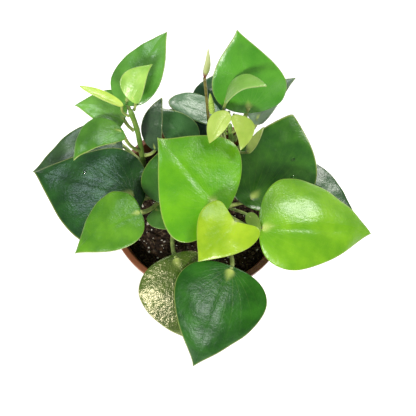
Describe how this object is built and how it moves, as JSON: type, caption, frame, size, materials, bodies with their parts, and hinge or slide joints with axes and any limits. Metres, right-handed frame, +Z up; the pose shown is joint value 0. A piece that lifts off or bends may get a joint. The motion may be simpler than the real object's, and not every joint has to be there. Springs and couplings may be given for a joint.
{
  "type": "potted peperomia plant",
  "caption": "Small potted peperomia with thick glossy heart-shaped leaves in a tapered brown nursery pot, standing on its flat base.",
  "frame": {"origin": "centre of the pot's base, on the surface it stands on", "axes": "+Z up along the pot's axis; +Y towards the back of the plant, the side away from the large front leaf"},
  "size_m": [0.2196, 0.1891, 0.204],
  "materials": {
    "pot": "satin",
    "soil": "matte",
    "stem": "satin",
    "flower": "satin",
    "leaf_dark": "gloss",
    "leaf_green": "gloss",
    "leaf_young": "gloss",
    "leaf_underside": "satin"
  },
  "bodies": {
    "root": {"pot": "pot", "potting_soil": "soil", "stem_left": "stem", "stem_right": "stem", "stem_front": "stem", "stem_middle": "stem", "flower_stalk": "stem", "flower_sheath": "flower", "flower_spike": "flower", "leaf_front_large": "leaf_dark", "leaf_front_left": "leaf_dark", "leaf_right_large": "leaf_green", "leaf_left_large": "leaf_dark", "leaf_left_front": "leaf_green", "leaf_left_back": "leaf_dark", "leaf_right_upright": "leaf_dark", "leaf_right_low": "leaf_dark", "leaf_centre_large": "leaf_green", "leaf_centre_heart": "leaf_young", "leaf_centre_inner": "leaf_dark", "leaf_centre_small_heart": "leaf_green", "leaf_centre_bud": "leaf_young", "leaf_left_shoot_tall": "leaf_green", "leaf_left_shoot_young": "leaf_young", "leaf_left_shoot_back": "leaf_green", "leaf_left_shoot_front": "leaf_green", "leaf_left_shoot_tip": "leaf_young", "leaf_left_shoot_folded": "leaf_dark", "leaf_back_tall": "leaf_green", "leaf_back_right": "leaf_underside", "leaf_right_shoot_curl": "leaf_young", "leaf_right_shoot_flap_left": "leaf_young", "leaf_right_shoot_flap_right": "leaf_young", "leaf_right_shoot_narrow": "leaf_young", "leaf_back_grey": "leaf_underside", "leaf_back_dark": "leaf_dark", "leaf_back_left": "leaf_dark", "leaf_back_blue": "leaf_dark"}
  },
  "joints": []
}
